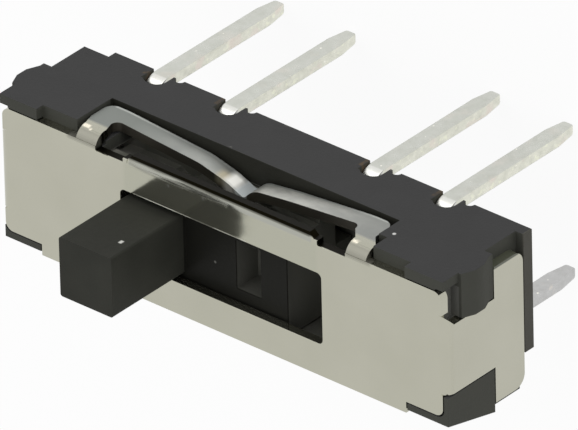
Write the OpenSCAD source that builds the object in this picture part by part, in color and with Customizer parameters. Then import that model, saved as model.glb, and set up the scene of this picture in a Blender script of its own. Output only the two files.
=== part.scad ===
// Subminiature slide switch: three positions, two poles, eight through-board terminals.
// X runs along the slot, Y runs across the terminal rows and Z points out through the knob.
// The origin is the middle of the seating face, and the terminal legs reach down from it.
// The knob is drawn in its first position, at the -X end of the slot.

/* [Body] */
// Length of the housing over its end posts
body_l = 12.4; // [12:0.1:15]
// Width of the housing across both terminal rows
body_w = 3.9; // [3.6:0.1:4.8]
// Height from the seating face to the front of the cover
body_h = 2.8; // [2.8:0.1:3.4]
// Thickness of the end walls of the slider's chamber
end_wall = 0.35; // [0.25:0.05:0.4]
// Thickness of the side walls of the slider's chamber
side_wall = 0.65; // [0.5:0.05:0.7]
// Thickness of the floor that carries the contact pads
floor_t = 0.4; // [0.35:0.05:0.5]
// Height of the foot that sticks out below each end flap
foot_h = 0.28; // [0.2:0.02:0.4]
// Length of the relieved corner of the base
corner_relief_l = 0.9; // [0.6:0.1:1.1]
// Distance from the middle line to the relieved corner
corner_relief_y = 0.95; // [0.8:0.05:1.2]
// Height of the relieved corner above the seating face
corner_relief_h = 0.22; // [0.1:0.02:0.26]
// Height at which the lower side face starts to lean inwards
lean_start_z = 1.2; // [1:0.1:1.5]
// Inward lean of the lower side face, for each millimetre of height
lean_slope = 0.24; // [0.1:0.02:0.3]
// Length of the corner posts along the front
post_l = 1.15; // [0.8:0.05:1.4]
// Width of the ear at the outer corner of each upper post
ear_w = 0.23; // [0.15:0.01:0.28]
// Distance from the end of the body to the ears
ear_inset = 0.08; // [0:0.01:0.1]
// Distance from the end of the body to the pocket beside each ear
pocket_inset = 0.3; // [0.2:0.01:0.4]
// Depth of that pocket below the front of the cover
pocket_d = 0.5; // [0.2:0.05:0.6]
// Distance from the end of the body to the lower post at the -X end
low_post_inset = 0.12; // [0:0.01:0.15]
// How far the lug on each upper post stands out past the end of the body
lug_out = 0.13; // [0.05:0.01:0.2]
// Distance from the end flap's wing up to the lug
lug_gap = 0.15; // [0.05:0.01:0.25]
// Height of the lug along Z, over its slopes
lug_h = 0.9; // [0.7:0.05:1]
// Height of each of the lug's two slopes
lug_slope_h = 0.3; // [0.1:0.05:0.3]

/* [Cover] */
// Thickness of the cover sheet
sheet_t = 0.22; // [0.2:0.01:0.3]
// Inner radius of the bends where the end flaps leave the cover's front
bend_inner_r = 0.03; // [0.01:0.01:0.1]
// Distance from the side of the body to the long edge of the cover
cover_inset = 0.3; // [0.2:0.05:0.4]
// Depth of the notch for each lower post in the cover's long edge
post_notch_d = 0.27; // [0.15:0.01:0.35]
// Distance from the end of the body to the square corners of the cover
cover_end_gap = 0.14; // [0.1:0.02:0.25]
// Radius of the cover's square corners
cover_corner_r = 0.2; // [0.1:0.05:0.3]
// Width of the neck that joins each end flap
neck_w = 1.68; // [1.4:0.02:2]
// Extra width of the neck's upper side where it leaves the front
neck_flare = 0.26; // [0:0.02:0.3]
// Distance from the lower side of the body to the edge of each wing
wing_low_inset = 0.24; // [0.2:0.02:0.4]
// Distance from the upper side of the body to the edge of each wing
wing_high_inset = 0.34; // [0.2:0.02:0.4]
// Height of the wings along Z
wing_h = 0.94; // [0.7:0.02:1.1]
// Radius of the outer corners of the wings
wing_r = 0.3; // [0.1:0.05:0.4]
// Play between the cover and the posts that hold it
post_play = 0.03; // [0.02:0.01:0.06]

/* [Slot and knob] */
// Corner radius of the slot
slot_corner_r = 0.12; // [0.05:0.01:0.2]
// Side of the knob along the slot
knob_l = 1.46; // [1.2:0.02:1.6]
// Side of the knob across the slot
knob_w = 1.46; // [1.2:0.02:1.5]
// Height of the knob above the cover
knob_h = 2.1; // [1:0.1:4]
// Radius of the knob's standing edges
knob_edge_r = 0.06; // [0.03:0.01:0.15]
// Free play of the knob at each end of the slot
slot_play = 0.05; // [0.03:0.01:0.1]
// Gap between the knob and each long side of the slot
slot_side_gap = 0.14; // [0.05:0.01:0.2]

/* [Travel] */
// Travel from one position to the next, which is also the terminal pitch
travel_step = 2; // [1.6:0.1:2.4]
// Distance by which the knob rests short of its first position
rest_short = 0.06; // [0:0.01:0.08]
// Free play of the carriage at each end of its chamber
end_play = 0.1; // [0.06:0.01:0.15]
// Free play of the carriage at its sides and front
run_play = 0.05; // [0.03:0.01:0.08]

/* [Detent spring] */
// Distance over the outer edges of the two spring roots
spring_span = 8; // [7.4:0.1:8.4]
// Width of each spring root along X
spring_root_w = 0.55; // [0.45:0.05:0.7]
// Width of the spring strip along Z
spring_strip_w = 0.45; // [0.35:0.05:0.55]
// Distance from the front of the cover back to the spring strip
spring_drop = 0.8; // [0.7:0.05:0.9]
// Inner radius of the bends where the spring's roots leave the cover's front
root_bend_inner_r = 0.13; // [0.08:0.01:0.15]
// Outer corner radius of the spring in plan
spring_corner_r = 0.25; // [0.1:0.05:0.3]
// Inner corner radius of the spring in plan
spring_inner_r = 0.18; // [0.05:0.01:0.25]
// Shift of the spring's strip towards -X at its first root
first_root_lean = 0.08; // [0:0.01:0.12]
// Shift of the spring's strip towards -X at its second root
second_root_lean = 0.23; // [0:0.01:0.25]
// Drop of the spring's roots below the side of the body
root_drop = 0.07; // [0:0.01:0.1]
// Distance from the middle to the point where each arm starts to fall
arm_bend_x = 1.25; // [1:0.05:1.5]
// Depth below the side of the body at that point
arm_bend_d = 0.25; // [0.15:0.01:0.3]
// Distance from the middle to the shoulder of the tooth's long flank
long_flank_x = 0.55; // [0.5:0.05:0.7]
// Depth of that shoulder below the side of the body
long_flank_d = 0.43; // [0.35:0.01:0.5]
// Distance from the middle to the shoulder of the tooth's short flank
short_flank_x = 0.3; // [0.25:0.05:0.4]
// Depth of that shoulder below the side of the body
short_flank_d = 0.37; // [0.3:0.01:0.42]
// Depth of the spring's tooth below the side of the body
tooth_d = 0.68; // [0.6:0.01:0.72]
// Height of the cover's lip between the spring roots, above the cover's long edge
lip_h = 0.12; // [0.05:0.01:0.15]
// Distance from the middle to the ends of the lip
lip_half_l = 2.45; // [1.8:0.05:2.6]
// Width of the rolled-down edge along the lip
lip_roll_w = 0.22; // [0.1:0.02:0.3]
// Drop of the rolled-down edge
lip_roll_h = 0.05; // [0.02:0.01:0.08]
// Depth of the relief beside each spring root, below the cover's long edge
root_relief_d = 0.11; // [0.05:0.01:0.2]
// Length that each fold of the spring takes from the straight strip beside it
spring_fold_l = 0.16; // [0.06:0.02:0.18]
// Gap between the spring and the walls of its recess
recess_gap = 0.05; // [0.04:0.01:0.1]
// Gap between the spring and the rear wall of its recess
recess_back_gap = 0.1; // [0.05:0.01:0.15]
// Gap between the spring and the step that it runs in on the carriage
rail_gap = 0.1; // [0.06:0.02:0.16]
// Depth of the detent notches in the carriage
notch_d = 0.14; // [0.08:0.01:0.2]
// Radius of the detent notches
notch_r = 0.35; // [0.3:0.05:0.4]

/* [Carriage] */
// Height of the carriage's underside above the contact pads
carriage_lift = 0.55; // [0.45:0.05:0.6]
// Length of the solid end of the carriage, outside each window
end_rib_l = 0.72; // [0.4:0.02:0.9]
// Length of the windows in the carriage's front
window_l = 0.69; // [0.3:0.01:0.8]
// Width of the windows in the carriage's front
window_w = 1.2; // [0.8:0.1:1.4]
// Depth of the windows in the carriage's front
window_d = 0.7; // [0.3:0.1:0.9]
// Width of the keel between the two moving contacts
keel_w = 0.5; // [0.3:0.05:0.6]
// Gap between the keel and the floor
keel_gap = 0.05; // [0.03:0.01:0.1]

/* [Terminals] */
// Width of a terminal along X
pin_w = 0.4; // [0.3:0.05:0.5]
// Thickness of a terminal
pin_t = 0.28; // [0.2:0.02:0.3]
// Distance from the side of the body to the outer face of each leg
leg_inset = 0.04; // [0:0.01:0.1]
// Length of a terminal leg below the seating face
pin_l = 3.9; // [2.5:0.1:5]
// Length of the tapered tip of a leg
tip_l = 0.6; // [0.4:0.05:1]
// Radius of the rounded end of a leg
tip_r = 0.13; // [0.06:0.01:0.14]
// Outer radius of the bend in a terminal
pin_bend_r = 0.4; // [0.35:0.01:0.5]
// Width of a contact pad across the body
pad_w = 0.6; // [0.4:0.05:0.7]
// Length of a contact pad past the place where a contact rests
pad_reach = 0.4; // [0.3:0.05:0.45]
// Play between a terminal and the housing around it
pin_play = 0.02; // [0.01:0.01:0.04]
// Height of the open notch outside each terminal bend
pin_notch_h = 0.5; // [0.42:0.02:0.6]
// Width of the notch past the terminal's edge, on the side that is relieved
pin_notch_side = 0.14; // [0.05:0.01:0.2]
// Corner radius of the notch
pin_notch_r = 0.24; // [0.1:0.02:0.28]
// Radius of the small relief beside each notch
side_relief_r = 0.12; // [0.08:0.01:0.15]
// Distance between the notch and the small relief
side_relief_gap = 0.06; // [0.04:0.01:0.1]

/* [Moving contacts] */
// Thickness of the moving contact strip
contact_t = 0.12; // [0.08:0.01:0.15]
// Width of the moving contact strip
contact_w = 0.5; // [0.35:0.05:0.6]
// Outer radius of the rounded feet of a moving contact
contact_foot_r = 0.25; // [0.2:0.01:0.3]
// Gap above and below a contact, as drawn without spring force
contact_gap = 0.02; // [0.01:0.01:0.04]
// Height of the upturned ends of a moving contact
contact_end_h = 0.2; // [0.1:0.05:0.25]
// Length of the flat strap that joins the two legs of a moving contact
contact_strap_l = 0.9; // [0.6:0.1:1.1]
// Radius of the peg that locates a moving contact
peg_r = 0.1; // [0.08:0.01:0.12]
// Play around the peg
peg_play = 0.03; // [0.02:0.01:0.05]

/* [Hidden] */
$fn = 48;
// How far a cutting solid runs past the face that it opens
over = 0.5;

travel = 2 * travel_step;
half_l = body_l / 2;
half_w = body_w / 2;
core_half_l = half_l - sheet_t;
cover_back_z = body_h - sheet_t;
cover_half_w = half_w - cover_inset;
cover_flat_half_l = half_l - cover_end_gap;
cover_low_y = post_notch_d - cover_half_w;
bend_r = sheet_t + bend_inner_r;
fold_x = half_l - bend_r;
fold_z = body_h - bend_r;
chamber_half_l = core_half_l - end_wall;
chamber_half_w = half_w - side_wall;
post_start_x = half_l - post_l;

// End flaps
flap_z0 = foot_h + post_play;
wing_top_z = flap_z0 + wing_h;
wing_w = body_w - wing_low_inset - wing_high_inset;
wing_y = (wing_low_inset - wing_high_inset) / 2;

// Slider
slot_l = travel + knob_l + 2 * slot_play;
slot_w = knob_w + 2 * slot_side_gap;
rest_x = rest_short - travel_step;
carriage_half_l = chamber_half_l - travel / 2 - end_play;
carriage_half_w = chamber_half_w - run_play;
carriage_z0 = floor_t + carriage_lift;
carriage_z1 = cover_back_z - run_play;
window_x1 = carriage_half_l - end_rib_l;

// Detent spring, with the path of its top face and the path of its middle seen along Z
spring_z1 = body_h - spring_drop;
spring_z = spring_z1 - spring_strip_w;
root_bend_r = sheet_t + root_bend_inner_r;
root_fold_z = body_h - root_bend_r;
root_y = half_w - root_drop;
root_inner_x = spring_span / 2 - spring_root_w;
jog_z = spring_z1 + spring_inner_r;
tooth_bottom_y = half_w - tooth_d;
crest_y = tooth_bottom_y - sheet_t - run_play;
spring_top = [
    [-spring_span / 2 - over, root_y],
    [-root_inner_x - first_root_lean, root_y],
    [-arm_bend_x, half_w - arm_bend_d],
    [-long_flank_x, half_w - long_flank_d],
    [0, tooth_bottom_y],
    [short_flank_x, half_w - short_flank_d],
    [arm_bend_x, half_w - arm_bend_d],
    [root_inner_x - second_root_lean, root_y],
    [spring_span / 2, root_y]];
spring_path = [for (p = spring_top) [p[0], p[1] - sheet_t / 2]];

// Moving contacts and terminals
contact_y = (chamber_half_w + keel_w / 2) / 2;
foot_x = travel_step / 2;
foot_z = floor_t + contact_gap + contact_foot_r;
foot_path_r = contact_foot_r - contact_t / 2;
strap_z = carriage_z0 - contact_gap - contact_t / 2;
leg_out_y = half_w - leg_inset;
POLES = ["a", "b"];
PIN_STEPS = [-2, -1, 1, 2];

// Points of a strip of thickness t around a path, by the mean normal at each point
function unit(v) = v / norm(v);
function left_of(v) = [-v[1], v[0]];
function side_dir(p, i) =
    let (a = i == 0 ? unit(p[1] - p[0]) : unit(p[i] - p[i - 1]),
         b = i == len(p) - 1 ? a : unit(p[i + 1] - p[i]),
         m = unit(left_of(a) + left_of(b)))
    m / (m * left_of(b));
function strip_outline(p, t) =
    concat([for (i = [0 : len(p) - 1]) p[i] + side_dir(p, i) * t / 2],
           [for (i = [len(p) - 1 : -1 : 0]) p[i] - side_dir(p, i) * t / 2]);

// Rounds each inner corner of a path with a curve of r length on both sides
function rounded_path(p, r, n = 5) =
    concat([p[0]],
           [for (i = [1 : len(p) - 2])
               let (a = p[i] + unit(p[i - 1] - p[i]) * r,
                    b = p[i] + unit(p[i + 1] - p[i]) * r)
               for (k = [0 : n])
                   let (u = k / n)
                   (1 - u) * (1 - u) * a + 2 * u * (1 - u) * p[i] + u * u * b],
           [p[len(p) - 1]]);

// Points along the lower half of a circle, from its -X side to its +X side
function half_turn(middle, r, step = 30) =
    [for (a = [180 : step : 360]) middle + r * [cos(a), sin(a)]];

// A block from one corner to the other
module span_box(low, high) {
    translate(low)
        cube(high - low);
}

// A flat rectangle with rounded corners, centred
module rounded_rect(size, r) {
    for (sx = [-1, 1], sy = [-1, 1])
        translate([sx * (size[0] / 2 - r), sy * (size[1] / 2 - r)])
            circle(r);
    square([size[0] - 2 * r, size[1]], center = true);
    square([size[0], size[1] - 2 * r], center = true);
}

// Turns a drawing in X and Y into a solid that stands in X and Z, from y0 to y1
module stand_xz(y0, y1) {
    translate([0, y1, 0])
        rotate([90, 0, 0])
            linear_extrude(y1 - y0)
                children();
}

// Turns a drawing in Y and Z into a solid that runs along X, from x0 to x1
module run_yz(x0, x1) {
    translate([x0, 0, 0])
        rotate([90, 0, 90])
            linear_extrude(x1 - x0)
                children();
}

// A shape at the +X end and its mirror image at the -X end
module both_ends() {
    children();
    mirror([1, 0, 0])
        children();
}

// ---- Cover ----

// The flat front of the cover without its slot, grown by g all round
module front_outline(g) {
    translate([0, (cover_half_w + cover_low_y) / 2])
        rounded_rect([2 * (cover_flat_half_l + g), cover_half_w - cover_low_y + 2 * g], cover_corner_r);
    square([2 * (post_start_x + g), 2 * (cover_half_w + g)], center = true);
}

module cover_outline() {
    relief_start = lip_half_l + lip_h + root_relief_d;
    difference() {
        union() {
            front_outline(0);
            both_ends()
                translate([root_inner_x, 0])
                    square([spring_root_w, root_y - root_bend_r]);
            polygon([[-relief_start, cover_half_w - root_relief_d],
                     [-lip_half_l, cover_half_w + lip_h],
                     [lip_half_l, cover_half_w + lip_h],
                     [relief_start, cover_half_w - root_relief_d]]);
        }
        both_ends() {
            translate([relief_start, cover_half_w - root_relief_d])
                square([root_inner_x - relief_start, cover_inset]);
            translate([fold_x, -neck_w / 2])
                square([bend_r, neck_w + neck_flare]);
        }
        rounded_rect([slot_l, slot_w], slot_corner_r);
    }
}

// A quarter bend of the sheet, turning from +X down to -Z, of width w centred on Y
module sheet_bend(r, w) {
    rotate([90, 0, 0])
        rotate_extrude(angle = 90)
            translate([r - sheet_t, -w / 2])
                square([sheet_t, w]);
}

// The neck of an end flap, drawn in Y and Z: it flares where it leaves the front
module neck_outline(g) {
    side = neck_w / 2 + g;
    polygon([[-side, flap_z0 - g], [side, flap_z0 - g], [side, fold_z],
             [side + neck_flare, body_h], [side + neck_flare, body_h + over],
             [-side, body_h + over]]);
}

// The T shape of an end flap, grown by g all round
module flap_outline(g) {
    neck_outline(g);
    translate([wing_y, flap_z0 + wing_h / 2])
        rounded_rect([wing_w + 2 * g, wing_h + 2 * g], wing_r);
    for (side = [-1, 1])
        translate([wing_y + side * (wing_w / 2 - wing_r + g) - wing_r, wing_top_z - wing_r])
            square([2 * wing_r, wing_r + g]);
}

module end_flap() {
    full_w = 2 * (half_w - cover_inset);
    intersection() {
        union() {
            translate([fold_x, 0, fold_z])
                sheet_bend(bend_r, full_w);
            span_box([core_half_l, -half_w, 0], [half_l, half_w, fold_z]);
        }
        run_yz(fold_x, half_l)
            flap_outline(0);
    }
}

// One root seen along Y: it jogs towards -X by lean, and blends into the strip
module root_plan(side, lean) {
    outer_x = side * spring_span / 2;
    inner_x = side * root_inner_x;
    corner_z = spring_z + spring_corner_r;
    blend_x = inner_x - lean - side * spring_inner_r;
    polygon([[outer_x, root_fold_z], [outer_x - lean, jog_z], [outer_x - lean, corner_z],
             [inner_x - lean, corner_z], [inner_x - lean, jog_z], [inner_x, root_fold_z]]);
    translate([outer_x - lean - side * spring_corner_r, corner_z])
        circle(spring_corner_r);
    difference() {
        translate([min(blend_x, inner_x - lean), spring_z1])
            square(spring_inner_r);
        translate([blend_x, jog_z])
            circle(spring_inner_r);
    }
}

// The spring seen along Y: two roots joined by one narrow strip
module spring_plan() {
    strip_x0 = spring_corner_r - spring_span / 2 - first_root_lean;
    translate([strip_x0, spring_z])
        square([spring_span / 2 - second_root_lean - spring_corner_r - strip_x0, spring_strip_w]);
    root_plan(-1, first_root_lean);
    root_plan(1, second_root_lean);
}

module detent_spring() {
    intersection() {
        linear_extrude(body_h)
            polygon(strip_outline(rounded_path(spring_path, spring_fold_l), sheet_t));
        stand_xz(0, half_w)
            spring_plan();
    }
    both_ends()
        translate([(spring_span - spring_root_w) / 2, root_y - root_bend_r, root_fold_z])
            rotate([0, 0, 90])
                sheet_bend(root_bend_r, spring_root_w);
}

// What the rolled-down edge of the lip leaves out of the flat front
module lip_roll() {
    lip_y = cover_half_w + lip_h;
    run_yz(-lip_half_l - lip_h, lip_half_l + lip_h)
        polygon([[lip_y - lip_roll_w, body_h], [lip_y, body_h - lip_roll_h],
                 [lip_y + over, body_h - lip_roll_h], [lip_y + over, body_h + over],
                 [lip_y - lip_roll_w, body_h + over]]);
}

module cover_frame() {
    color([0.7, 0.7, 0.64]) {
        difference() {
            translate([0, 0, cover_back_z])
                linear_extrude(sheet_t)
                    cover_outline();
            lip_roll();
        }
        both_ends()
            end_flap();
        detent_spring();
    }
}

// ---- Housing ----

// One corner post at the +X end, before the room for the cover is taken from it
module corner_post(side) {
    mirror([0, side > 0 ? 0 : 1, 0]) {
        span_box([post_start_x + post_play, neck_w / 2, cover_back_z - over], [half_l, half_w, body_h]);
        span_box([core_half_l - over, neck_w / 2 + post_play, wing_top_z + post_play],
                 [half_l, half_w, body_h]);
    }
}

// The lug that stands out over the end flap's wing
module post_lug() {
    low_z = wing_top_z + lug_gap;
    high_z = low_z + lug_h;
    stand_xz(neck_w / 2 + post_play, half_w)
        polygon([[half_l - lug_out, low_z], [half_l, low_z], [half_l + lug_out, low_z + lug_slope_h],
                 [half_l + lug_out, high_z - lug_slope_h], [half_l, high_z], [half_l - lug_out, high_z]]);
}

// The room that the cover's front, its folds and its end flaps take
module cover_room() {
    translate([0, 0, cover_back_z])
        linear_extrude(sheet_t + over)
            front_outline(post_play);
    both_ends() {
        run_yz(core_half_l, half_l + over)
            flap_outline(post_play);
        run_yz(fold_x, half_l + over)
            intersection() {
                neck_outline(post_play);
                translate([-half_w, fold_z])
                    square([body_w, bend_r + over]);
            }
    }
}

// The pocket and the step that leave an ear on the +X end's upper post
module ear_cuts() {
    span_box([half_l - pocket_inset, neck_w / 2, body_h - pocket_d],
             [half_l + over, half_w - ear_w, body_h + over]);
    span_box([half_l - ear_inset, neck_w / 2, body_h - pocket_d],
             [half_l + over, half_w + over, body_h + over]);
}

// The space that the terminals of one pole need, with their play
module terminal_room(side) {
    for (k = PIN_STEPS) {
        x = k * travel_step;
        for (piece = [[x - pin_w / 2, x + pin_w / 2, contact_y, half_w + over],
                      [pad_x0(k), pad_x1(k), contact_y - pad_w / 2, contact_y + pad_w / 2]])
            mirror([0, side > 0 ? 0 : 1, 0])
                span_box([piece[0] - pin_play, piece[2] - pin_play, floor_t - pin_t - pin_play],
                         [piece[1] + pin_play, piece[3] + pin_play, floor_t + pin_play]);
        // the notches are turned half a turn from one row to the other
        rotate([0, 0, side > 0 ? 0 : 180])
            translate([side * x, 0, 0])
                terminal_notch();
    }
}

// The open notch outside one terminal's bend, and the small relief beside it
module terminal_notch() {
    depth_y = leg_out_y - pin_bend_r - pin_play;
    x0 = -pin_w / 2 - pin_play;
    x1 = pin_w / 2 + pin_notch_side;
    stand_xz(depth_y, half_w + over) {
        translate([(x0 + x1) / 2, (pin_notch_h - over) / 2])
            rounded_rect([x1 - x0, pin_notch_h + over], pin_notch_r);
        translate([x1 + side_relief_gap + side_relief_r, 0])
            circle(side_relief_r);
    }
}

module housing_block() {
    span_box([-core_half_l, -half_w, 0], [core_half_l, half_w, cover_back_z]);
    span_box([-half_l, -half_w, 0], [half_l, half_w, foot_h]);
    both_ends() {
        for (side = [-1, 1])
            corner_post(side);
        post_lug();
    }
}

// The recess for the spring, and the opening through which its tooth meets the carriage
module spring_recess() {
    outer_x = spring_span / 2 + recess_gap;
    rear_z = spring_z - recess_back_gap;
    floor_y = root_y - sheet_t - recess_gap;
    span_box([-outer_x - first_root_lean, floor_y, rear_z],
             [outer_x - second_root_lean, half_w + over, cover_back_z + over]);
    span_box([0, floor_y, jog_z - recess_gap],
             [outer_x, half_w + over, cover_back_z + over]);
    span_box([-outer_x, root_y - root_bend_r, root_fold_z],
             [outer_x, half_w + over, cover_back_z + over]);
    span_box([-root_inner_x, 0, rear_z],
             [root_inner_x, half_w + over, cover_back_z + over]);
}

// The lower post at the -X end stands back a little from the end
module low_post_cut() {
    span_box([-half_l - over, -half_w - over, wing_top_z + post_play],
             [low_post_inset - half_l, -neck_w / 2, body_h + over]);
}

module housing() {
    color([0.16, 0.16, 0.16])
        difference() {
            housing_block();
            span_box([-chamber_half_l, -chamber_half_w, floor_t],
                     [chamber_half_l, chamber_half_w, cover_back_z + over]);
            spring_recess();
            cover_room();
            both_ends()
                ear_cuts();
            low_post_cut();
            // two opposite corners of the base are relieved
            for (turn = [0, 180])
                rotate([0, 0, turn]) {
                    span_box([-half_l - over, corner_relief_y, -over],
                             [-half_l + corner_relief_l, half_w + over, corner_relief_h]);
                    span_box([-half_l - over, corner_relief_y, -over],
                             [-core_half_l, half_w + over, flap_z0]);
                }
            // the lower side face leans inwards towards the cover
            run_yz(-half_l - over, half_l + over)
                polygon([[-half_w, lean_start_z],
                         [-half_w + lean_slope * (body_h + over - lean_start_z), body_h + over],
                         [-half_w - over, body_h + over],
                         [-half_w - over, lean_start_z]]);
            for (side = [-1, 1])
                terminal_room(side);
        }
}

// ---- Slider ----

module slider() {
    color([0.2, 0.2, 0.2])
        translate([rest_x, 0, 0]) {
            difference() {
                span_box([-carriage_half_l, -carriage_half_w, carriage_z0],
                         [carriage_half_l, carriage_half_w, carriage_z1]);
                detent_rail();
                both_ends()
                    span_box([window_x1 - window_l, -window_w / 2, carriage_z1 - window_d],
                             [window_x1, window_w / 2, carriage_z1 + over]);
            }
            keel();
            translate([0, 0, carriage_z1 - over])
                linear_extrude(body_h + knob_h - carriage_z1 + over)
                    rounded_rect([knob_l, knob_w], knob_edge_r);
            for (side = [-1, 1])
                translate([0, side * contact_y, carriage_z0 - contact_t - peg_play])
                    cylinder(r = peg_r, h = contact_t + peg_play + over);
        }
}

// The step along the carriage's upper side with one notch for each position
module detent_rail() {
    span_box([-carriage_half_l - over, crest_y, spring_z - rail_gap],
             [carriage_half_l + over, carriage_half_w + over, spring_z1 + rail_gap]);
    for (k = [-1, 0, 1])
        translate([k * travel_step, crest_y + notch_r - notch_d, spring_z - rail_gap])
            cylinder(r = notch_r, h = spring_strip_w + 2 * rail_gap);
}

module keel() {
    span_box([-carriage_half_l, -keel_w / 2, floor_t + keel_gap],
             [carriage_half_l, keel_w / 2, carriage_z0 + over]);
}

// ---- Contacts and terminals ----

// The moving contact seen along Y: a strap, two sprung legs, and rounded feet
module contact_profile() {
    end_z = foot_z + contact_end_h;
    path = concat([[-foot_x - foot_path_r, end_z]],
                  half_turn([-foot_x, foot_z], foot_path_r),
                  [[-contact_strap_l / 2, strap_z], [contact_strap_l / 2, strap_z]],
                  half_turn([foot_x, foot_z], foot_path_r),
                  [[foot_x + foot_path_r, end_z]]);
    polygon(strip_outline(path, contact_t));
}

module moving_contact(side) {
    color([0.85, 0.65, 0.3])
        translate([rest_x, side * contact_y, 0])
            difference() {
                stand_xz(-contact_w / 2, contact_w / 2)
                    contact_profile();
                translate([0, 0, floor_t])
                    cylinder(r = peg_r + peg_play, h = body_h);
            }
}

// The ends of a terminal's pad: it spans its own leg and the place where a contact rests
function pad_rest_x(k) = sign(k) * (abs(k) - 0.5) * travel_step;
function pad_x0(k) = min(k * travel_step - pin_w / 2, pad_rest_x(k) - pad_reach);
function pad_x1(k) = max(k * travel_step + pin_w / 2, pad_rest_x(k) + pad_reach);

// A leg's outline of the given half width, tapered to a round end, drawn below the origin
module leg_outline(half) {
    polygon([[-half, 0], [-half, -pin_l + tip_l], [-tip_r, -pin_l + tip_r],
             [tip_r, -pin_l + tip_r], [half, -pin_l + tip_l], [half, 0]]);
    translate([0, -pin_l + tip_r])
        circle(tip_r);
}

module terminal(side, k) {
    x = k * travel_step;
    color([0.8, 0.8, 0.76])
        mirror([0, side > 0 ? 0 : 1, 0]) {
            intersection() {
                stand_xz(leg_out_y - pin_t, leg_out_y)
                    translate([x, 0])
                        leg_outline(pin_w / 2);
                run_yz(x - pin_w, x + pin_w)
                    translate([leg_out_y - pin_t / 2, 0])
                        leg_outline(pin_t / 2);
            }
            translate([x, leg_out_y - pin_bend_r, floor_t - pin_bend_r])
                rotate([90, 0, 90])
                    rotate_extrude(angle = 90)
                        translate([pin_bend_r - pin_t, -pin_w / 2])
                            square([pin_t, pin_w]);
            span_box([x - pin_w / 2, contact_y, floor_t - pin_t],
                     [x + pin_w / 2, leg_out_y - pin_bend_r, floor_t]);
            span_box([pad_x0(k), contact_y - pad_w / 2, floor_t - pin_t],
                     [pad_x1(k), contact_y + pad_w / 2, floor_t]);
        }
}

housing();
cover_frame();
slider();
moving_contact(1);  // contact_a
moving_contact(-1);  // contact_b
for (p = [0, 1], i = [0 : len(PIN_STEPS) - 1])
    terminal(1 - 2 * p, PIN_STEPS[i]);
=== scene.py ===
import math

import bpy
from mathutils import Matrix, Vector


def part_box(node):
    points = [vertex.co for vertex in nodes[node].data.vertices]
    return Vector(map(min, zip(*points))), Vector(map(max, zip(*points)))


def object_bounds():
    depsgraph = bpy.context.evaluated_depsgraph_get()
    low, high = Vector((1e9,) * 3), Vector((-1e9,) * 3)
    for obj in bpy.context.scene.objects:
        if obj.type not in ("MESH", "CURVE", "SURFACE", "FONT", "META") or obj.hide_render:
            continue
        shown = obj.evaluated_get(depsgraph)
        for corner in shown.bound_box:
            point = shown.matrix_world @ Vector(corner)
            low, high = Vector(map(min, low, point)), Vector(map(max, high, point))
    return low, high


# The slide switch's nodes get their looks and softened edges, in soft light on a white floor.

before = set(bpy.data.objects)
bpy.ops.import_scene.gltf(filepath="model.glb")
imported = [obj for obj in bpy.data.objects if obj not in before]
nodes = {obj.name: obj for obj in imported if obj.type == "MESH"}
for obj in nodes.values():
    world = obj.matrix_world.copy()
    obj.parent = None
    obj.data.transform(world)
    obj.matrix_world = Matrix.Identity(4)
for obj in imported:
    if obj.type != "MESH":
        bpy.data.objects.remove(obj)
cad_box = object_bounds()

MM = 0.001
WHITE = (1.0, 1.0, 1.0)


# ---------------------------------------------------------------- camera

# The camera's direction from the part, which way is up in its picture, and its small shifts
VIEW_FROM = Vector((0.56270, 0.52144, 0.64146))
VIEW_UP = Vector((-0.32483, 0.85302, -0.40847))
AIM_RIGHT = -0.393 * MM
AIM_UP = -0.062 * MM
VIEW_DISTANCE = 386.9 * MM
LENS_MM = 1142.8
SENSOR_MM = 36.0
# The nearest and the furthest that the camera sees, in metres
CLIP_NEAR = 0.01
CLIP_FAR = 20.0


def add_camera():
    """A long lens looks at the middle of the seating face from +Z, the spring's side and +X."""
    back = VIEW_FROM.normalized()
    right = VIEW_UP.cross(back).normalized()
    up = back.cross(right)
    data = bpy.data.cameras.new("camera")
    data.sensor_width = SENSOR_MM
    data.lens = LENS_MM
    data.clip_start = CLIP_NEAR
    data.clip_end = CLIP_FAR
    camera = bpy.data.objects.new("camera", data)
    place = Matrix((right, up, back)).transposed().to_4x4()
    place.translation = back * VIEW_DISTANCE + right * AIM_RIGHT + up * AIM_UP
    camera.matrix_world = place
    bpy.context.scene.collection.objects.link(camera)
    bpy.context.scene.camera = camera


# ---------------------------------------------------------------- node helpers

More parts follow.
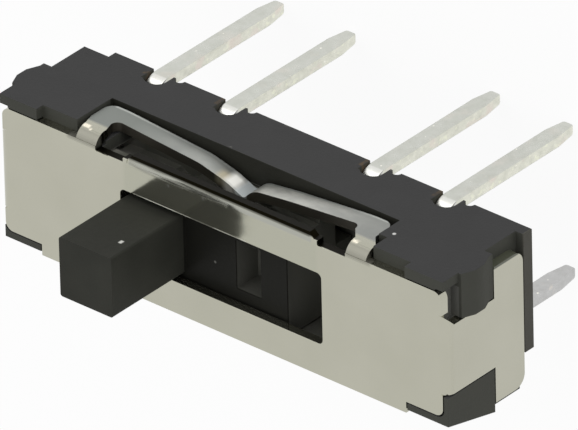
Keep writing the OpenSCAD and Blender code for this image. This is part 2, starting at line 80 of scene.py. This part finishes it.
class Nodes:
    """Short calls for the nodes used here, in a shader tree that starts with its output node."""

    def __init__(self, tree, output):
        tree.nodes.clear()
        self.tree = tree
        self.out = self.node(output)

    def node(self, kind, inputs=None, **settings):
        """A node with its settings, then its inputs by name or number."""
        made = self.tree.nodes.new(kind)
        for key, value in settings.items():
            setattr(made, key, value)
        for key, value in (inputs or {}).items():
            self.feed(made.inputs[key], value)
        return made

    def feed(self, socket, value):
        """An input takes another node's output, a plain colour or a plain value."""
        if isinstance(value, bpy.types.NodeSocket):
            self.tree.links.new(value, socket)
        elif socket.type == "RGBA":
            socket.default_value = (*value, 1.0)
        else:
            socket.default_value = value

    def show(self, shader):
        """The shader goes to the tree's output."""
        self.feed(self.out.inputs["Surface"], shader)

    def math(self, operation, *values):
        """The result of a math operation on outputs and plain numbers."""
        made = self.node("ShaderNodeMath", dict(enumerate(values)), operation=operation)
        return made.outputs["Value"]

    def both(self, first, second):
        """The product of two masks."""
        return self.math("MULTIPLY", first, second)

    def largest(self, values):
        """The largest of several numbers."""
        top = values[0]
        for value in values[1:]:
            top = self.math("MAXIMUM", top, value)
        return top

    def mix_shaders(self, factor, first, second):
        """The first shader where factor is 0, and the second where it is 1."""
        made = self.node("ShaderNodeMixShader", {0: factor, 1: first, 2: second})
        return made.outputs["Shader"]

    def white_to_camera(self):
        """1 for the camera, glossy and see-through rays, which meet plain white; 0 for the rest."""
        rays = self.node("ShaderNodeLightPath").outputs
        return self.largest([rays[f"Is {kind} Ray"] for kind in ("Camera", "Glossy", "Transmission")])


ANYWHERE = (None, None)
# Noise lies mostly between these two values
NOISE_LOW = 0.3
NOISE_HIGH = 0.7


class Look(Nodes):
    """A new node material, with masks and noises measured in millimetres on the object."""

    def __init__(self, name):
        self.material = bpy.data.materials.new(name)
        self.material.use_nodes = True
        super().__init__(self.material.node_tree, "ShaderNodeOutputMaterial")
        coords = self.node("ShaderNodeTexCoord").outputs
        self.coords = coords["Object"]
        self.facing = coords["Normal"]
        self.place = self.stretched((1, 1, 1))
        self.axes = self.node("ShaderNodeSeparateXYZ", {"Vector": self.place}).outputs

    def stretched(self, stretch):
        """Object coordinates in millimetres, scaled along each axis."""
        scale = [share / MM for share in stretch]
        made = self.node("ShaderNodeMapping", {"Vector": self.coords, "Scale": scale})
        return made.outputs["Vector"]

    def noise(self, scale, stretch=(1, 1, 1), detail=3.0, rough=0.5):
        """Noise with scale bumps to the millimetre."""
        made = self.node("ShaderNodeTexNoise", {
            "Vector": self.stretched(stretch),
            "Scale": scale, "Detail": detail, "Roughness": rough})
        return made.outputs["Fac"]

    def ramp(self, source, low, high, low_value=0.0, high_value=1.0):
        """source mapped from low..high to two values, and held outside."""
        made = self.node("ShaderNodeMapRange", {
            "Value": source, "From Min": low, "From Max": high,
            "To Min": low_value, "To Max": high_value}, clamp=True)
        return made.outputs["Result"]

    def mix(self, factor, first, second):
        """A colour from the first, where factor is 0, to the second, where it is 1."""
        made = self.node("ShaderNodeMix", {"Factor": factor}, data_type="RGBA")
        colours = [socket for socket in made.inputs if socket.type == "RGBA"]
        for socket, value in zip(colours, (first, second)):
            self.feed(socket, value)
        return next(socket for socket in made.outputs if socket.type == "RGBA")

    def drift(self, noise, first, second, low=NOISE_LOW):
        """A colour that drifts between two shades with a noise."""
        return self.mix(self.ramp(noise, low, NOISE_HIGH), first, second)

    def painted(self, colour, layers):
        """colour with each layer's tone over it where the layer's mask is 1, in order."""
        for mask, tone in layers:
            colour = self.mix(mask, colour, tone)
        return colour

    def blend(self, factor, first, second):
        """A number from the first, where factor is 0, to the second, where it is 1."""
        inputs = {"Factor": factor, "A": first, "B": second}
        return self.node("ShaderNodeMix", inputs, data_type="FLOAT").outputs["Result"]

    def region(self, x=ANYWHERE, y=ANYWHERE, z=ANYWHERE, soft=0.05):
        """1 inside a block, falling to 0 over soft outside it.

        Each span is (low, high), and None leaves that side of the block open.
        """
        inside = None
        for axis, (low, high) in zip(self.axes, (x, y, z)):
            for limit, outwards in ((low, -soft), (high, soft)):
                if limit is None:
                    continue
                edge = self.ramp(axis, limit + outwards, limit)
                inside = edge if inside is None else self.both(inside, edge)
        return inside

    def spot(self, centre, radius, soft=0.02):
        """1 within radius of a point, falling to 0 over soft."""
        away = self.node("ShaderNodeVectorMath", {0: self.place, 1: centre}, operation="DISTANCE")
        return self.ramp(away.outputs["Value"], radius, radius + soft, 1.0, 0.0)

    def turned_from_y(self):
        """1 on faces that don't face along Y, such as the cut edges of a strip."""
        facing = self.node("ShaderNodeSeparateXYZ", {"Vector": self.facing}).outputs
        return self.ramp(self.math("ABSOLUTE", facing["Y"]), 0.3, 0.6, 1.0, 0.0)

    def bump(self, height, depth_mm, strength):
        """A normal from a height that spans depth_mm."""
        made = self.node("ShaderNodeBump", {
            "Height": height, "Distance": depth_mm * MM, "Strength": strength})
        return made.outputs["Normal"]

    def surface(self, colour, roughness, normal, **more):
        """The material's principled surface; more gives other inputs by name."""
        inputs = {"Base Color": colour, "Roughness": roughness, "Normal": normal}
        for name, value in more.items():
            inputs[name.replace("_", " ")] = value
        self.show(self.node("ShaderNodeBsdfPrincipled", inputs).outputs["BSDF"])
        return self.material


# ---------------------------------------------------------------- places

def corners_mm(node):
    """A node's lowest and highest corners at rest, in millimetres."""
    return [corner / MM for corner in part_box(node)]


# The sizes that the looks share with part.scad, in millimetres
SHEET_T = 0.22
SLOT_HALF_W = 0.87
SPRING_DROP = 0.80
SPRING_STRIP_W = 0.45
SPRING_ROOT_X = 3.45
RECESS_BACK_GAP = 0.10
RUN_PLAY = 0.05
LEG_HALF_W = 0.20

# Places on the nodes, in millimetres: X runs along the slot, Y across it, Z out through the knob.
# SIDE_Y is the side that the spring is on, and rear faces are the ones nearer the seat.
SIDE_Y = corners_mm("housing")[1].y
SHEET_FRONT_Z = corners_mm("cover_frame")[1].z
SHEET_REAR_Z = SHEET_FRONT_Z - SHEET_T
SPRING_FRONT_Z = SHEET_FRONT_Z - SPRING_DROP
SPRING_REAR_Z = SPRING_FRONT_Z - SPRING_STRIP_W
RECESS_WALL_Z = SPRING_REAR_Z - RECESS_BACK_GAP
CARRIAGE_FRONT_Z = SHEET_REAR_Z - RUN_PLAY
SLIDER_LOW, SLIDER_HIGH = corners_mm("slider")
# The legs stand at the outer leg's distance from the middle, and at half of it
OUTER_LEG_X = corners_mm("terminal_a4")[1].x - LEG_HALF_W
LEG_MIDDLES = [share * OUTER_LEG_X for share in (-1.0, -0.5, 0.5, 1.0)]


# ---------------------------------------------------------------- materials

def black_plastic():
    """Moulded black plastic with a fine matt grain, rubbed edges, brown patches by the legs, painted
    fill light on faces turned from Y and in the body's inner hollows, and painted shade on the recess
    wall.
    """
    look = Look("black_plastic")
    grain = look.noise(14.0, detail=4.0, rough=0.6)
    cloud = look.noise(1.1)
    grey = look.drift(cloud, (0.044, 0.044, 0.044), (0.051, 0.051, 0.051), low=0.35)
    # faces turned from Y are painted lighter and yellow-grey, a painted fill light for their shade
    side_fill_olive = look.drift(cloud, (0.051, 0.052, 0.044), (0.058, 0.059, 0.050), low=0.35)
    recess_edge = look.region(x=(-1.9, 0.5), y=(SIDE_Y - 0.05, None),
                              z=(RECESS_WALL_Z - 0.05, RECESS_WALL_Z + 0.01), soft=0.02)
    seat_edge = look.region(x=(-4.4, 4.4), y=(SIDE_Y - 0.03, None), z=(None, 0.03), soft=0.02)
    flecks = look.ramp(look.noise(9.0, stretch=(0.5, 1, 1), detail=2.0), 0.60, 0.68)
    rubbed = look.both(look.largest([recess_edge, seat_edge]), flecks)
    nick = look.spot((4.08, SIDE_Y, 1.94), 0.03)
    leg_sides = [middle - LEG_HALF_W for middle in LEG_MIDDLES]
    leg_brown_patches = [look.region(x=(side - 0.09, side), y=(1.5, None), z=(None, 0.26), soft=0.04)
            for side in leg_sides]
    brown_beside_legs = look.both(look.largest(leg_brown_patches), look.ramp(look.noise(5.0), 0.40, 0.60))
    # the recess's rear wall is painted darker, a painted shade
    recess_wall_shade = look.region(x=(-4.3, 4.1), y=(1.2, SIDE_Y - 0.02),
                              z=(RECESS_WALL_Z - 0.05, RECESS_WALL_Z + 0.05), soft=0.02)
    # the body's inner hollow, the corner by the right post and the right foot's end are painted
    # lighter, painted fill light in their shade
    chamber_fill_light = look.region(x=(-5.9, 5.9), y=(-1.32, 1.32), z=(0.3, SHEET_REAR_Z - 0.02), soft=0.01)
    post_corner_fill = look.region(x=(5.8, 6.12), y=(0.8, 1.6), z=(1.7, SHEET_FRONT_Z - 0.04), soft=0.02)
    foot_end_fill = look.region(x=(6.17, 6.3), z=(None, 0.5), soft=0.01)
    colour = look.painted(look.mix(look.turned_from_y(), grey, side_fill_olive), [
        (rubbed, (0.16, 0.155, 0.14)),
        (nick, (0.62, 0.62, 0.60)),
        (brown_beside_legs, (0.095, 0.070, 0.046)),
        (recess_wall_shade, (0.020, 0.020, 0.016)),
        (chamber_fill_light, (0.12, 0.12, 0.104)),
        (post_corner_fill, (0.11, 0.11, 0.10)),
        (foot_end_fill, (0.072, 0.070, 0.060))])
    roughness = look.ramp(cloud, NOISE_LOW, NOISE_HIGH, 0.50, 0.62)
    return look.surface(colour, roughness, look.bump(grain, 0.012, 0.5), Specular_IOR_Level=0.08)


def slider_plastic():
    """The slider's smoother black plastic, painted greyer inside the body as fill light in its shade,
    painted darker on the carriage's front as shade, with a light mark on the knob.
    """
    look = Look("slider_plastic")
    grain = look.noise(10.0)
    shade = look.drift(look.noise(0.9), (0.029, 0.0295, 0.0245), (0.035, 0.0355, 0.0295), low=0.35)
    # a light mark on the knob
    knob_mark = look.region(x=(-1.52, -1.47), y=(0.6, None), z=(4.21, 4.29), soft=0.03)
    # the carriage's front is painted near black, a painted shade under the cover
    front = look.region(z=(CARRIAGE_FRONT_Z - 0.015, CARRIAGE_FRONT_Z + 0.07), soft=0.01)
    below_front = (None, CARRIAGE_FRONT_Z - 0.04)
    inside = look.region(z=below_front, soft=0.01)
    # the sides are painted greyer the deeper they lie, a painted fill light in their shade, and the
    # spring's side is painted palest at its -X end, where the light doesn't reach
    side = look.mix(look.ramp(look.axes["Z"], 1.1, 2.4), (0.22, 0.22, 0.19), (0.075, 0.075, 0.066))
    ends = (SLIDER_LOW.x + 0.03, SLIDER_HIGH.x - 0.03)
    spring_side = look.region(x=ends, y=(0.84, None), z=below_front, soft=0.01)
    pale = look.mix(look.ramp(look.axes["X"], -3.6, -3.2), (0.36, 0.35, 0.31), (0.16, 0.16, 0.135))
    speck = look.spot((-0.40, -0.17, CARRIAGE_FRONT_Z), 0.02)
    colour = look.painted(shade, [
        (knob_mark, (0.62, 0.62, 0.58)),
        (front, (0.012, 0.012, 0.010)),
        (inside, side),
        (spring_side, pale),
        (speck, (0.12, 0.12, 0.11))])
    roughness = look.ramp(grain, NOISE_LOW, NOISE_HIGH, 0.36, 0.46)
    return look.surface(colour, roughness, look.bump(grain, 0.008, 0.4), Specular_IOR_Level=0.05)


def front_masks(look):
    """The marks on the cover's front between slot and lip, the lip band's painted reflections, edge
    highlight and dark line, and the sheet's cut edge there, painted black as its shade.
    """
    on_front = (SHEET_FRONT_Z - 0.1, None)
    scuff = look.region(x=(-2.5, 0.2), y=(1.54, 1.73), z=on_front, soft=0.05)
    lines = look.ramp(look.noise(5.0, stretch=(0.25, 4.0, 1.0), detail=2.0), 0.40, 0.65)
    # a bright line along the slot's edge, a painted highlight on a stamped edge
    burr_highlight = look.region(x=(-2.4, 0.7), y=(SLOT_HALF_W - 0.015, SLOT_HALF_W + 0.015),
                       z=(SHEET_FRONT_Z - 0.06, None), soft=0.012)
    broken = look.ramp(look.noise(1.4, stretch=(1, 0.1, 0.1)), 0.38, 0.62, 0.25, 1.0)
    nicks = [look.spot((x, y, SHEET_FRONT_Z), 0.03) for x, y in ((-1.42, 1.44), (-0.45, 1.49))]
    return {
        # the bar and the lip are painted darker, standing in for the darker surroundings they reflect
        "bar": look.region(x=(-2.6, 2.6), y=(0.90, 1.52), z=on_front, soft=0.12),
        "lip": look.region(x=(-2.5, 2.5), y=(1.57, None), z=on_front, soft=0.03),
        "scuff": look.both(scuff, lines),
        # a thin dark line painted on the lip, a painted shade
        "groove_shade": look.region(x=(-0.4, 2.45), y=(1.665, 1.685), z=on_front, soft=0.02),
        # a bright line along the lip's outer edge, a painted highlight
        "rim_highlight": look.region(x=(-2.5, 2.5), y=(1.745, None),
                           z=(SHEET_FRONT_Z - 0.065, None), soft=0.01),
        # the sheet's cut edge along the lip is painted near black, a painted shade
        "cut_edge_shade": look.region(x=(-SPRING_ROOT_X, SPRING_ROOT_X), y=(1.3, None),
                                z=(SHEET_REAR_Z - 0.08, SHEET_FRONT_Z - 0.035), soft=0.01),
        "nicks": look.largest(nicks),
        "burr_highlight": look.both(burr_highlight, broken),
    }


def spring_masks(look):
    """The spring's strip, its cut edges, its rear edge's painted highlight, and the painted highlight
    and reflection on its tooth.
    """
    on_strip = (1.2, None)
    strip = look.region(x=(-4.4, 4.2), y=on_strip, z=(None, 2.30), soft=0.08)
    mottle = look.ramp(look.noise(4.0, stretch=(0.6, 1, 1)), 0.38, 0.62, 0.0, 0.32)
    edges = look.region(x=(-3.7, 3.5), y=(1.0, None), z=(None, 2.5), soft=0.02)
    return {
        "strip": strip,
        "mottle": look.both(strip, mottle),
        # a light line along the strip's rear edge, a painted highlight
        "rear_edge_highlight": look.region(x=(-3.9, 3.6), y=on_strip,
                                 z=(None, SPRING_REAR_Z + 0.05), soft=0.02),
        "cut_edges": look.both(edges, look.turned_from_y()),
        # the tooth has a painted highlight, golden at its -X side and white in the middle, and the
        # strip's end beyond it a painted blue-grey reflection
        "tooth_highlight_gold": look.region(x=(-0.72, -0.58), y=(1.45, None),
                            z=(SPRING_REAR_Z + 0.25, SPRING_FRONT_Z - 0.06), soft=0.13),
        "tip": look.region(x=(-0.24, 0.0), y=on_strip, z=(None, SPRING_FRONT_Z), soft=0.08),
        "tooth": look.region(x=(-0.50, -0.36), y=on_strip,
                             z=(SPRING_REAR_Z + 0.13, SPRING_FRONT_Z - 0.08), soft=0.15),
    }


def root_masks(look):
    """The spring's bent roots, painted darker to hold back a lamp's highlight, each with small
    painted glints.
    """
    on_bend = (SHEET_FRONT_Z - 0.16, SHEET_FRONT_Z - 0.02)
    # the bent roots are painted darker, a painted shade that holds back the lamp's highlight
    bends = [look.region(x=span, y=(1.62, None), z=on_bend, soft=0.07)
             for span in ((-4.2, -SPRING_ROOT_X), (SPRING_ROOT_X, 4.1))]
    # small painted glints at each root
    glint_spots = [look.region(x=(-3.98, -3.82), y=(1.8, None), z=(2.505, 2.560), soft=0.04),
            look.spot((-3.76, 1.86, SHEET_REAR_Z), 0.02, soft=0.03),
            look.region(x=(3.46, 3.62), y=(1.8, None), z=(2.525, 2.575), soft=0.04)]
    patches = look.ramp(look.noise(7.0, detail=1.0), 0.34, 0.50)
    return {"bends": look.largest(bends), "root_glints": look.both(look.largest(glint_spots), patches)}


def spring_painted_tone(look):
    """The arms' satin greys, painted to stand in for how much light they reflect: the -X arm pales
    towards the tooth, and the +X arm darkens past it.
    """
    along = look.axes["X"]
    first_arm = look.mix(look.ramp(along, -3.2, -1.2), (0.26, 0.275, 0.255), (0.45, 0.46, 0.43))
    second_arm = look.mix(look.ramp(along, 0.9, 3.4), (0.78, 0.78, 0.72), (0.34, 0.345, 0.325))
    return look.mix(look.ramp(along, 0.1, 0.3), first_arm, second_arm)


def plated_cover():
    """Bright plated sheet: almost a mirror in front, satin on the spring, with a painted highlight at
    its tooth.
    """
    look = Look("plated_cover")
    streak = look.noise(3.0, stretch=(0.12, 2.5, 2.5), detail=4.0)
    plating = look.drift(look.noise(0.5), (0.440, 0.435, 0.358), (0.470, 0.463, 0.386))
    front = front_masks(look)
    spring = spring_masks(look)
    roots = root_masks(look)
    past_end = look.ramp(look.math("ABSOLUTE", look.axes["X"]), 5.8, 5.9)
    wing_edge = look.both(look.region(y=(1.56, None), z=(None, 1.45), soft=0.02), past_end)
    colour = look.painted(plating, [
        (front["bar"], (0.425, 0.425, 0.348)),
        (front["lip"], (0.395, 0.40, 0.355)),
        (front["scuff"], (0.31, 0.31, 0.265)),
        (front["groove_shade"], (0.25, 0.25, 0.215)),
        (front["rim_highlight"], (0.52, 0.52, 0.47)),
        (front["cut_edge_shade"], (0.004, 0.003, 0.0)),
        (front["nicks"], (0.70, 0.70, 0.64)),
        (front["burr_highlight"], (0.70, 0.70, 0.62)),
        (wing_edge, (0.085, 0.090, 0.064)),
        (spring["strip"], spring_painted_tone(look)),
        (spring["mottle"], (0.27, 0.285, 0.27)),
        (spring["rear_edge_highlight"], (0.50, 0.52, 0.49)),
        (spring["cut_edges"], (0.10, 0.092, 0.075)),
        (spring["tooth_highlight_gold"], (0.62, 0.57, 0.43)),
        (spring["tip"], (0.58, 0.62, 0.62)),
        (spring["tooth"], (1.0, 0.99, 0.93)),
        (roots["bends"], (0.26, 0.255, 0.215)),
        (roots["root_glints"], (1.0, 0.93, 0.76))])
    satin = look.largest([
        spring["strip"], front["scuff"], front["burr_highlight"], front["cut_edge_shade"], roots["bends"]])
    polish = look.ramp(streak, NOISE_LOW, 0.75, 0.10, 0.15)
    # the painted highlights on the tooth and along the slot's edge, the painted reflection beyond the
    # tooth, the roots' painted glints and the wing's top edge are less metallic, and the bar between
    # the slot and the lip is a little hazy
    half_tip_reflection = look.math("MULTIPLY", spring["tip"], 0.5)
    less_metal = look.largest([spring["tooth"], front["burr_highlight"], roots["root_glints"], wing_edge, half_tip_reflection])
    haze = look.math("MULTIPLY", front["bar"], 0.035)
    metal = look.math("SUBTRACT", look.ramp(less_metal, 0.0, 1.0, 0.97, 0.0), haze)
    return look.surface(colour, look.blend(satin, polish, 0.45), look.bump(streak, 0.003, 0.3),
                        Metallic=metal)


def tinned_terminal():
    """Soft tin plate on the legs, yellower and painted lighter on the faces turned from Y, with warm
    patches, a painted highlight at each bend, painted shade on the far row and glints.
    """
    look = Look("tinned_terminal")
    pits = look.noise(5.0, detail=4.0)
    # faces turned from Y are painted lighter, a painted fill light that evens them with the faces
    # along Y, as well as yellower
    flat = look.drift(pits, (0.65, 0.66, 0.61), (0.60, 0.61, 0.555))
    side = look.drift(pits, (0.80, 0.80, 0.70), (0.68, 0.685, 0.60))
    far_row_shade_tone = look.drift(pits, (0.56, 0.56, 0.555), (0.50, 0.50, 0.49))
    turned = look.turned_from_y()
    yellow = look.both(turned, look.ramp(look.noise(6.0, detail=2.0), 0.58, 0.68))
    # each leg's bend is painted light, a painted highlight
    bends = look.region(y=(1.5, None), z=(0.10, 0.32), soft=0.04)
    # the far row of legs is painted darker, a painted shade
    far_row_shade = look.region(y=(None, -1.0), soft=0.05)
    warm = look.both(look.ramp(look.noise(2.2), 0.56, 0.68), look.ramp(turned, 0.0, 1.0, 0.25, 1.0))
    glints = look.ramp(look.noise(9.0, detail=1.0), 0.75, 0.79)
    colour = look.painted(look.mix(turned, flat, side), [
        (yellow, (0.85, 0.86, 0.71)),
        (bends, (0.78, 0.78, 0.74)),
        (far_row_shade, far_row_shade_tone),
        (warm, (0.77, 0.71, 0.64)),
        (glints, (0.95, 0.93, 0.84))])
    roughness = look.ramp(pits, NOISE_LOW, 0.75, 0.26, 0.4)
    return look.surface(colour, roughness, look.bump(pits, 0.01, 0.4), Metallic=1.0)


def contact_metal():
    """Rolled phosphor bronze."""
    look = Look("contact_metal")
    streak = look.noise(6.0, stretch=(0.3, 2.0, 2.0))
    colour = look.drift(streak, (0.66, 0.42, 0.20), (0.74, 0.50, 0.26))
    roughness = look.ramp(streak, NOISE_LOW, NOISE_HIGH, 0.2, 0.34)
    return look.surface(colour, roughness, look.bump(streak, 0.004, 0.3), Metallic=1.0)


# ---------------------------------------------------------------- edges and finishes

WELD_MM = 0.0005
FLAT_ANGLE = math.radians(1.0)
EDGE_ANGLE = math.radians(32.0)
EDGE_SEGMENTS = 2
WIDE_FACE_WEIGHT = 80


def sharp_edges():
    """Nodes that shade a mesh smooth, apart from the edges that turn more than EDGE_ANGLE."""
    tree = bpy.data.node_groups.new("sharp_edges", "GeometryNodeTree")
    for way in ("INPUT", "OUTPUT"):
        tree.interface.new_socket("Geometry", in_out=way, socket_type="NodeSocketGeometry")
    start = tree.nodes.new("NodeGroupInput")
    end = tree.nodes.new("NodeGroupOutput")
    faces = tree.nodes.new("GeometryNodeSetShadeSmooth")
    edges = tree.nodes.new("GeometryNodeSetShadeSmooth")
    edges.domain = "EDGE"
    angle = tree.nodes.new("GeometryNodeInputMeshEdgeAngle")
    small = tree.nodes.new("FunctionNodeCompare")
    small.operation = "LESS_THAN"
    small.inputs["B"].default_value = EDGE_ANGLE
    tree.links.new(angle.outputs["Unsigned Angle"], small.inputs["A"])
    tree.links.new(start.outputs["Geometry"], faces.inputs["Geometry"])
    tree.links.new(faces.outputs["Geometry"], edges.inputs["Geometry"])
    tree.links.new(small.outputs["Result"], edges.inputs["Shade Smooth"])
    tree.links.new(edges.outputs["Geometry"], end.inputs["Geometry"])
    return tree


def soften(item, edge_mm, shading):
    """Coplanar triangles become one face, sharp edges turn round, and wide faces shade flat."""
    weld = item.modifiers.new("weld", "WELD")
    weld.merge_threshold = WELD_MM * MM
    flat = item.modifiers.new("flat", "DECIMATE")
    flat.decimate_type = "DISSOLVE"
    flat.angle_limit = FLAT_ANGLE
    item.modifiers.new("shading", "NODES").node_group = shading
    edge = item.modifiers.new("edge", "BEVEL")
    edge.width = edge_mm * MM
    edge.segments = EDGE_SEGMENTS
    edge.limit_method = "ANGLE"
    edge.angle_limit = EDGE_ANGLE
    edge.use_clamp_overlap = True
    even = item.modifiers.new("even", "WEIGHTED_NORMAL")
    even.weight = WIDE_FACE_WEIGHT
    even.keep_sharp = True


def finish_nodes():
    """Every node gets the material of its kind and softened edges."""
    # each kind's material, and the width of its softened edges in millimetres
    finishes = {
        "housing": (black_plastic(), 0.030),
        "cover_frame": (plated_cover(), 0.028),
        "slider": (slider_plastic(), 0.030),
        "contact": (contact_metal(), 0.012),
        "terminal": (tinned_terminal(), 0.022),
    }
    shading = sharp_edges()
    for name, item in nodes.items():
        kind = next(start for start in finishes if name.startswith(start))
        material, edge_mm = finishes[kind]
        item.data.materials.clear()
        item.data.materials.append(material)
        soften(item, edge_mm, shading)


# ---------------------------------------------------------------- floor and light

WORLD_STRENGTH = 0.65
FLOOR_HALF = 0.6
FLOOR_GREY = (0.88, 0.88, 0.88)
# How much of the floor is plain white to the camera; the rest shows the object's shadow
FLOOR_WHITE = 0.92
# Each soft light's direction from the part, distance and side in metres, and power in watts
SOFTBOXES = {
    "top_light": ((-0.52, 0.68, 0.52), 0.6, 0.52, 0.8),
    "front_light": ((-0.1, 0.1, 1.0), 0.7, 0.45, 0.5),
    "end_light": ((0.87, 0.39, 0.29), 0.7, 0.45, 0.6),
    "side_light": ((0.38, 0.90, 0.18), 0.6, 0.42, 0.58),
}


def add_world():
    """A white world that lights the part at WORLD_STRENGTH, and is plain white to the camera."""
    world = bpy.data.worlds.new("studio")
    world.use_nodes = True
    bpy.context.scene.world = world
    sky = Nodes(world.node_tree, "ShaderNodeOutputWorld")
    lit, seen = [
        sky.node("ShaderNodeBackground", {"Color": WHITE, "Strength": strength}).outputs["Background"]
        for strength in (WORLD_STRENGTH, 1.0)]
    sky.show(sky.mix_shaders(sky.white_to_camera(), lit, seen))


def add_floor():
    """A wide floor under the legs' tips, near white to the camera but with the part's shadow."""
    height = cad_box[0][2]
    quarters = ((-1, -1), (1, -1), (1, 1), (-1, 1))
    corners = [(x * FLOOR_HALF, y * FLOOR_HALF, height) for x, y in quarters]
    mesh = bpy.data.meshes.new("floor")
    mesh.from_pydata(corners, [], [(0, 1, 2, 3)])
    floor = bpy.data.objects.new("floor", mesh)
    bpy.context.scene.collection.objects.link(floor)
    look = Look("floor")
    matt = look.node("ShaderNodeBsdfDiffuse", {"Color": FLOOR_GREY})
    white = look.node("ShaderNodeEmission", {"Color": WHITE})
    share = look.math("MULTIPLY", look.white_to_camera(), FLOOR_WHITE)
    look.show(look.mix_shaders(share, matt.outputs["BSDF"], white.outputs["Emission"]))
    mesh.materials.append(look.material)


def add_softbox(name, direction, distance, side, power):
    """A square soft light at that direction and distance, facing the part."""
    data = bpy.data.lights.new(name, "AREA")
    data.shape = "SQUARE"
    data.size = side
    data.energy = power
    lamp = bpy.data.objects.new(name, data)
    way = Vector(direction).normalized()
    lamp.matrix_world = way.to_track_quat("Z", "Y").to_matrix().to_4x4()
    lamp.matrix_world.translation = way * distance
    lamp.visible_camera = False
    bpy.context.scene.collection.objects.link(lamp)


bpy.context.scene.view_settings.view_transform = "Standard"
add_camera()
finish_nodes()
add_world()
add_floor()
for name, settings in SOFTBOXES.items():
    add_softbox(name, *settings)
